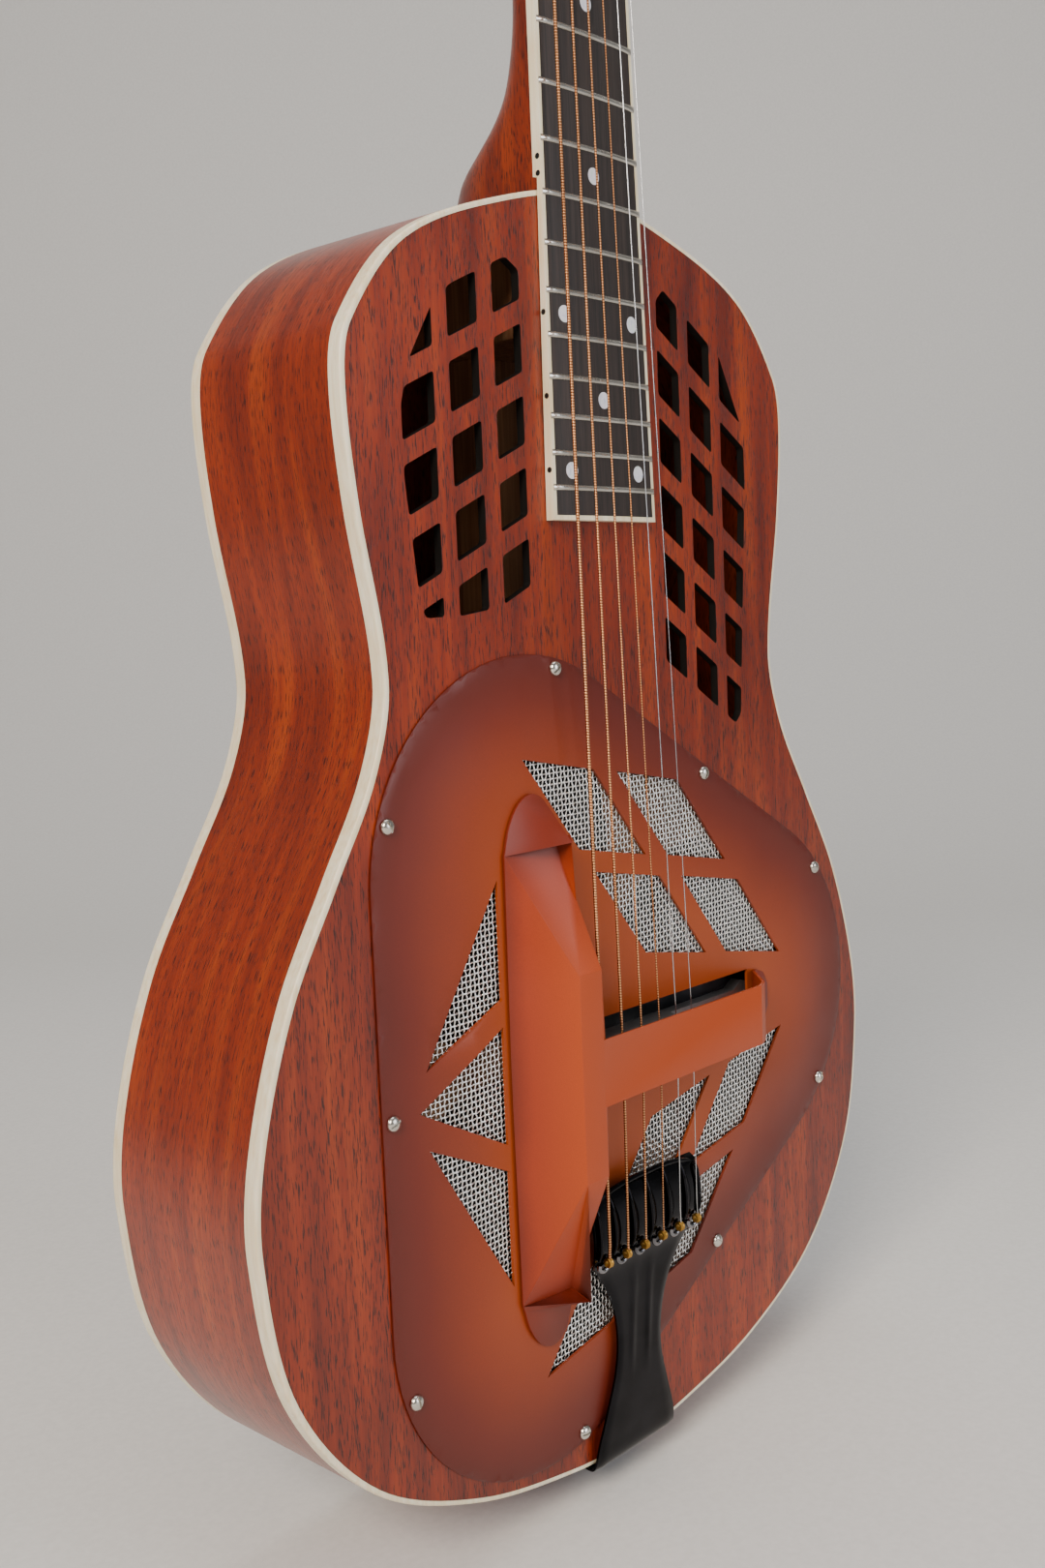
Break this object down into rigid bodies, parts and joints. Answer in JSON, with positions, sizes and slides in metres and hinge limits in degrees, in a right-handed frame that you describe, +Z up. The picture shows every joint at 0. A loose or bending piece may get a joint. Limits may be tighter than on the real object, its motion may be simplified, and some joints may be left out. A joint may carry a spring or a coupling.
{
  "type": "resonator guitar",
  "caption": "Wooden-bodied resonator guitar: three spun cones under a pressed cover with a T-shaped hand rest, slotted head with worm-geared tuners.",
  "frame": {"origin": "middle of the outer face of the end button, at the bottom of the body", "axes": "+Z up the neck, -Y the way the strings face, +X the treble side"},
  "size_m": [0.3598, 0.1061, 1.0032],
  "materials": {
    "top_wood": "lacquered mahogany, satin gloss",
    "rim_wood": "lacquered mahogany, gloss",
    "inner_wood": "bare sanded wood",
    "neck_wood": "lacquered mahogany, satin",
    "ivory_binding": "ivory celluloid, polished",
    "ebony": "oiled dark hardwood",
    "cover_coat": "satin sunburst coating",
    "screen_nickel": "bright woven wire",
    "cone_aluminium": "spun, bright",
    "bridge_cast": "as cast",
    "maple": "bare maple",
    "nickel": "nickel plate, polished",
    "dark_nickel": "black nickel plate, polished",
    "bone": "polished bone",
    "bronze_string": "bronze wound",
    "steel_string": "plain steel wire",
    "button_ivoroid": "ivoroid, polished",
    "roller_bone": "ivory coloured sleeve"
  },
  "bodies": {
    "guitar": {"back_binding": "ivory_binding", "back_plate": "rim_wood", "cone_bass_lower": "cone_aluminium", "cone_bass_upper": "cone_aluminium", "cone_treble": "cone_aluminium", "cover_screw_1": "nickel", "cover_screw_2": "nickel", "cover_screw_3": "nickel", "cover_screw_4": "nickel", "cover_screw_5": "nickel", "cover_screw_6": "nickel", "cover_screw_7": "nickel", "cover_screw_8": "nickel", "cover_screw_9": "nickel", "coverplate": "cover_coat", "end_button": "nickel", "fingerboard": "ebony", "fingerboard_binding": "ivory_binding", "front_binding": "ivory_binding", "handrest": "cover_coat", "head_veneer": "ebony", "lower_back_brace": "inner_wood", "neck": "neck_wood", "headstock": "neck_wood", "neck_block": "inner_wood", "neck_stick": "inner_wood", "nut": "bone", "saddle": "maple", "screen_left": "screen_nickel", "screen_lower": "screen_nickel", "screen_upper": "screen_nickel", "side_rim": "rim_wood", "soundboard": "top_wood", "soundwell": "inner_wood", "string_1": "steel_string", "string_2": "steel_string", "string_3": "bronze_string", "string_4": "bronze_string", "string_5": "bronze_string", "string_6": "bronze_string", "t_bridge": "bridge_cast", "tail_block": "inner_wood", "tailpiece": "dark_nickel", "truss_rod_cover": "ebony", "tuner_plate_bass": "nickel", "tuner_plate_treble": "nickel", "upper_back_brace": "inner_wood"},
    "tuner_roller_1": {"tuner_roller_1": "roller_bone"},
    "tuner_roller_2": {"tuner_roller_2": "roller_bone"},
    "tuner_roller_3": {"tuner_roller_3": "roller_bone"},
    "tuner_roller_4": {"tuner_roller_4": "roller_bone"},
    "tuner_roller_5": {"tuner_roller_5": "roller_bone"},
    "tuner_roller_6": {"tuner_roller_6": "roller_bone"},
    "tuner_worm_1": {"tuner_worm_1": "button_ivoroid"},
    "tuner_worm_2": {"tuner_worm_2": "button_ivoroid"},
    "tuner_worm_3": {"tuner_worm_3": "button_ivoroid"},
    "tuner_worm_4": {"tuner_worm_4": "button_ivoroid"},
    "tuner_worm_5": {"tuner_worm_5": "button_ivoroid"},
    "tuner_worm_6": {"tuner_worm_6": "button_ivoroid"}
  },
  "joints": [
    {"name": "button_turn_1", "type": "hinge", "parent": "guitar", "child": "tuner_worm_1", "pos_m": [0.0406, -0.02062, 0.8925], "axis": [0, 0.9781, -0.2079], "continuous": true},
    {"name": "roller_turn_1", "type": "hinge", "parent": "guitar", "child": "tuner_roller_1", "pos_m": [0, -0.0152, 0.88194], "axis": [1, 0, 0], "continuous": true},
    {"name": "button_turn_2", "type": "hinge", "parent": "guitar", "child": "tuner_worm_2", "pos_m": [0.0406, -0.01335, 0.92674], "axis": [0, 0.9781, -0.2079], "continuous": true},
    {"name": "roller_turn_2", "type": "hinge", "parent": "guitar", "child": "tuner_roller_2", "pos_m": [0, -0.00792, 0.91618], "axis": [1, 0, 0], "continuous": true},
    {"name": "button_turn_3", "type": "hinge", "parent": "guitar", "child": "tuner_worm_3", "pos_m": [0.0406, -0.00607, 0.96097], "axis": [0, 0.9781, -0.2079], "continuous": true},
    {"name": "roller_turn_3", "type": "hinge", "parent": "guitar", "child": "tuner_roller_3", "pos_m": [0, -0.00065, 0.95041], "axis": [1, 0, 0], "continuous": true},
    {"name": "button_turn_4", "type": "hinge", "parent": "guitar", "child": "tuner_worm_4", "pos_m": [-0.0406, -0.00607, 0.96097], "axis": [0, 0.9781, -0.2079], "continuous": true},
    {"name": "roller_turn_4", "type": "hinge", "parent": "guitar", "child": "tuner_roller_4", "pos_m": [0, -0.00065, 0.95041], "axis": [1, 0, 0], "continuous": true},
    {"name": "button_turn_5", "type": "hinge", "parent": "guitar", "child": "tuner_worm_5", "pos_m": [-0.0406, -0.01335, 0.92674], "axis": [0, 0.9781, -0.2079], "continuous": true},
    {"name": "roller_turn_5", "type": "hinge", "parent": "guitar", "child": "tuner_roller_5", "pos_m": [0, -0.00792, 0.91618], "axis": [1, 0, 0], "continuous": true},
    {"name": "button_turn_6", "type": "hinge", "parent": "guitar", "child": "tuner_worm_6", "pos_m": [-0.0406, -0.02062, 0.8925], "axis": [0, 0.9781, -0.2079], "continuous": true},
    {"name": "roller_turn_6", "type": "hinge", "parent": "guitar", "child": "tuner_roller_6", "pos_m": [0, -0.0152, 0.88194], "axis": [1, 0, 0], "continuous": true}
  ],
  "couplings": [
    {"joint": "roller_turn_1", "follows": "button_turn_1", "ratio": 0.071429},
    {"joint": "roller_turn_2", "follows": "button_turn_2", "ratio": 0.071429},
    {"joint": "roller_turn_3", "follows": "button_turn_3", "ratio": 0.071429},
    {"joint": "roller_turn_4", "follows": "button_turn_4", "ratio": -0.071429},
    {"joint": "roller_turn_5", "follows": "button_turn_5", "ratio": -0.071429},
    {"joint": "roller_turn_6", "follows": "button_turn_6", "ratio": -0.071429}
  ]
}
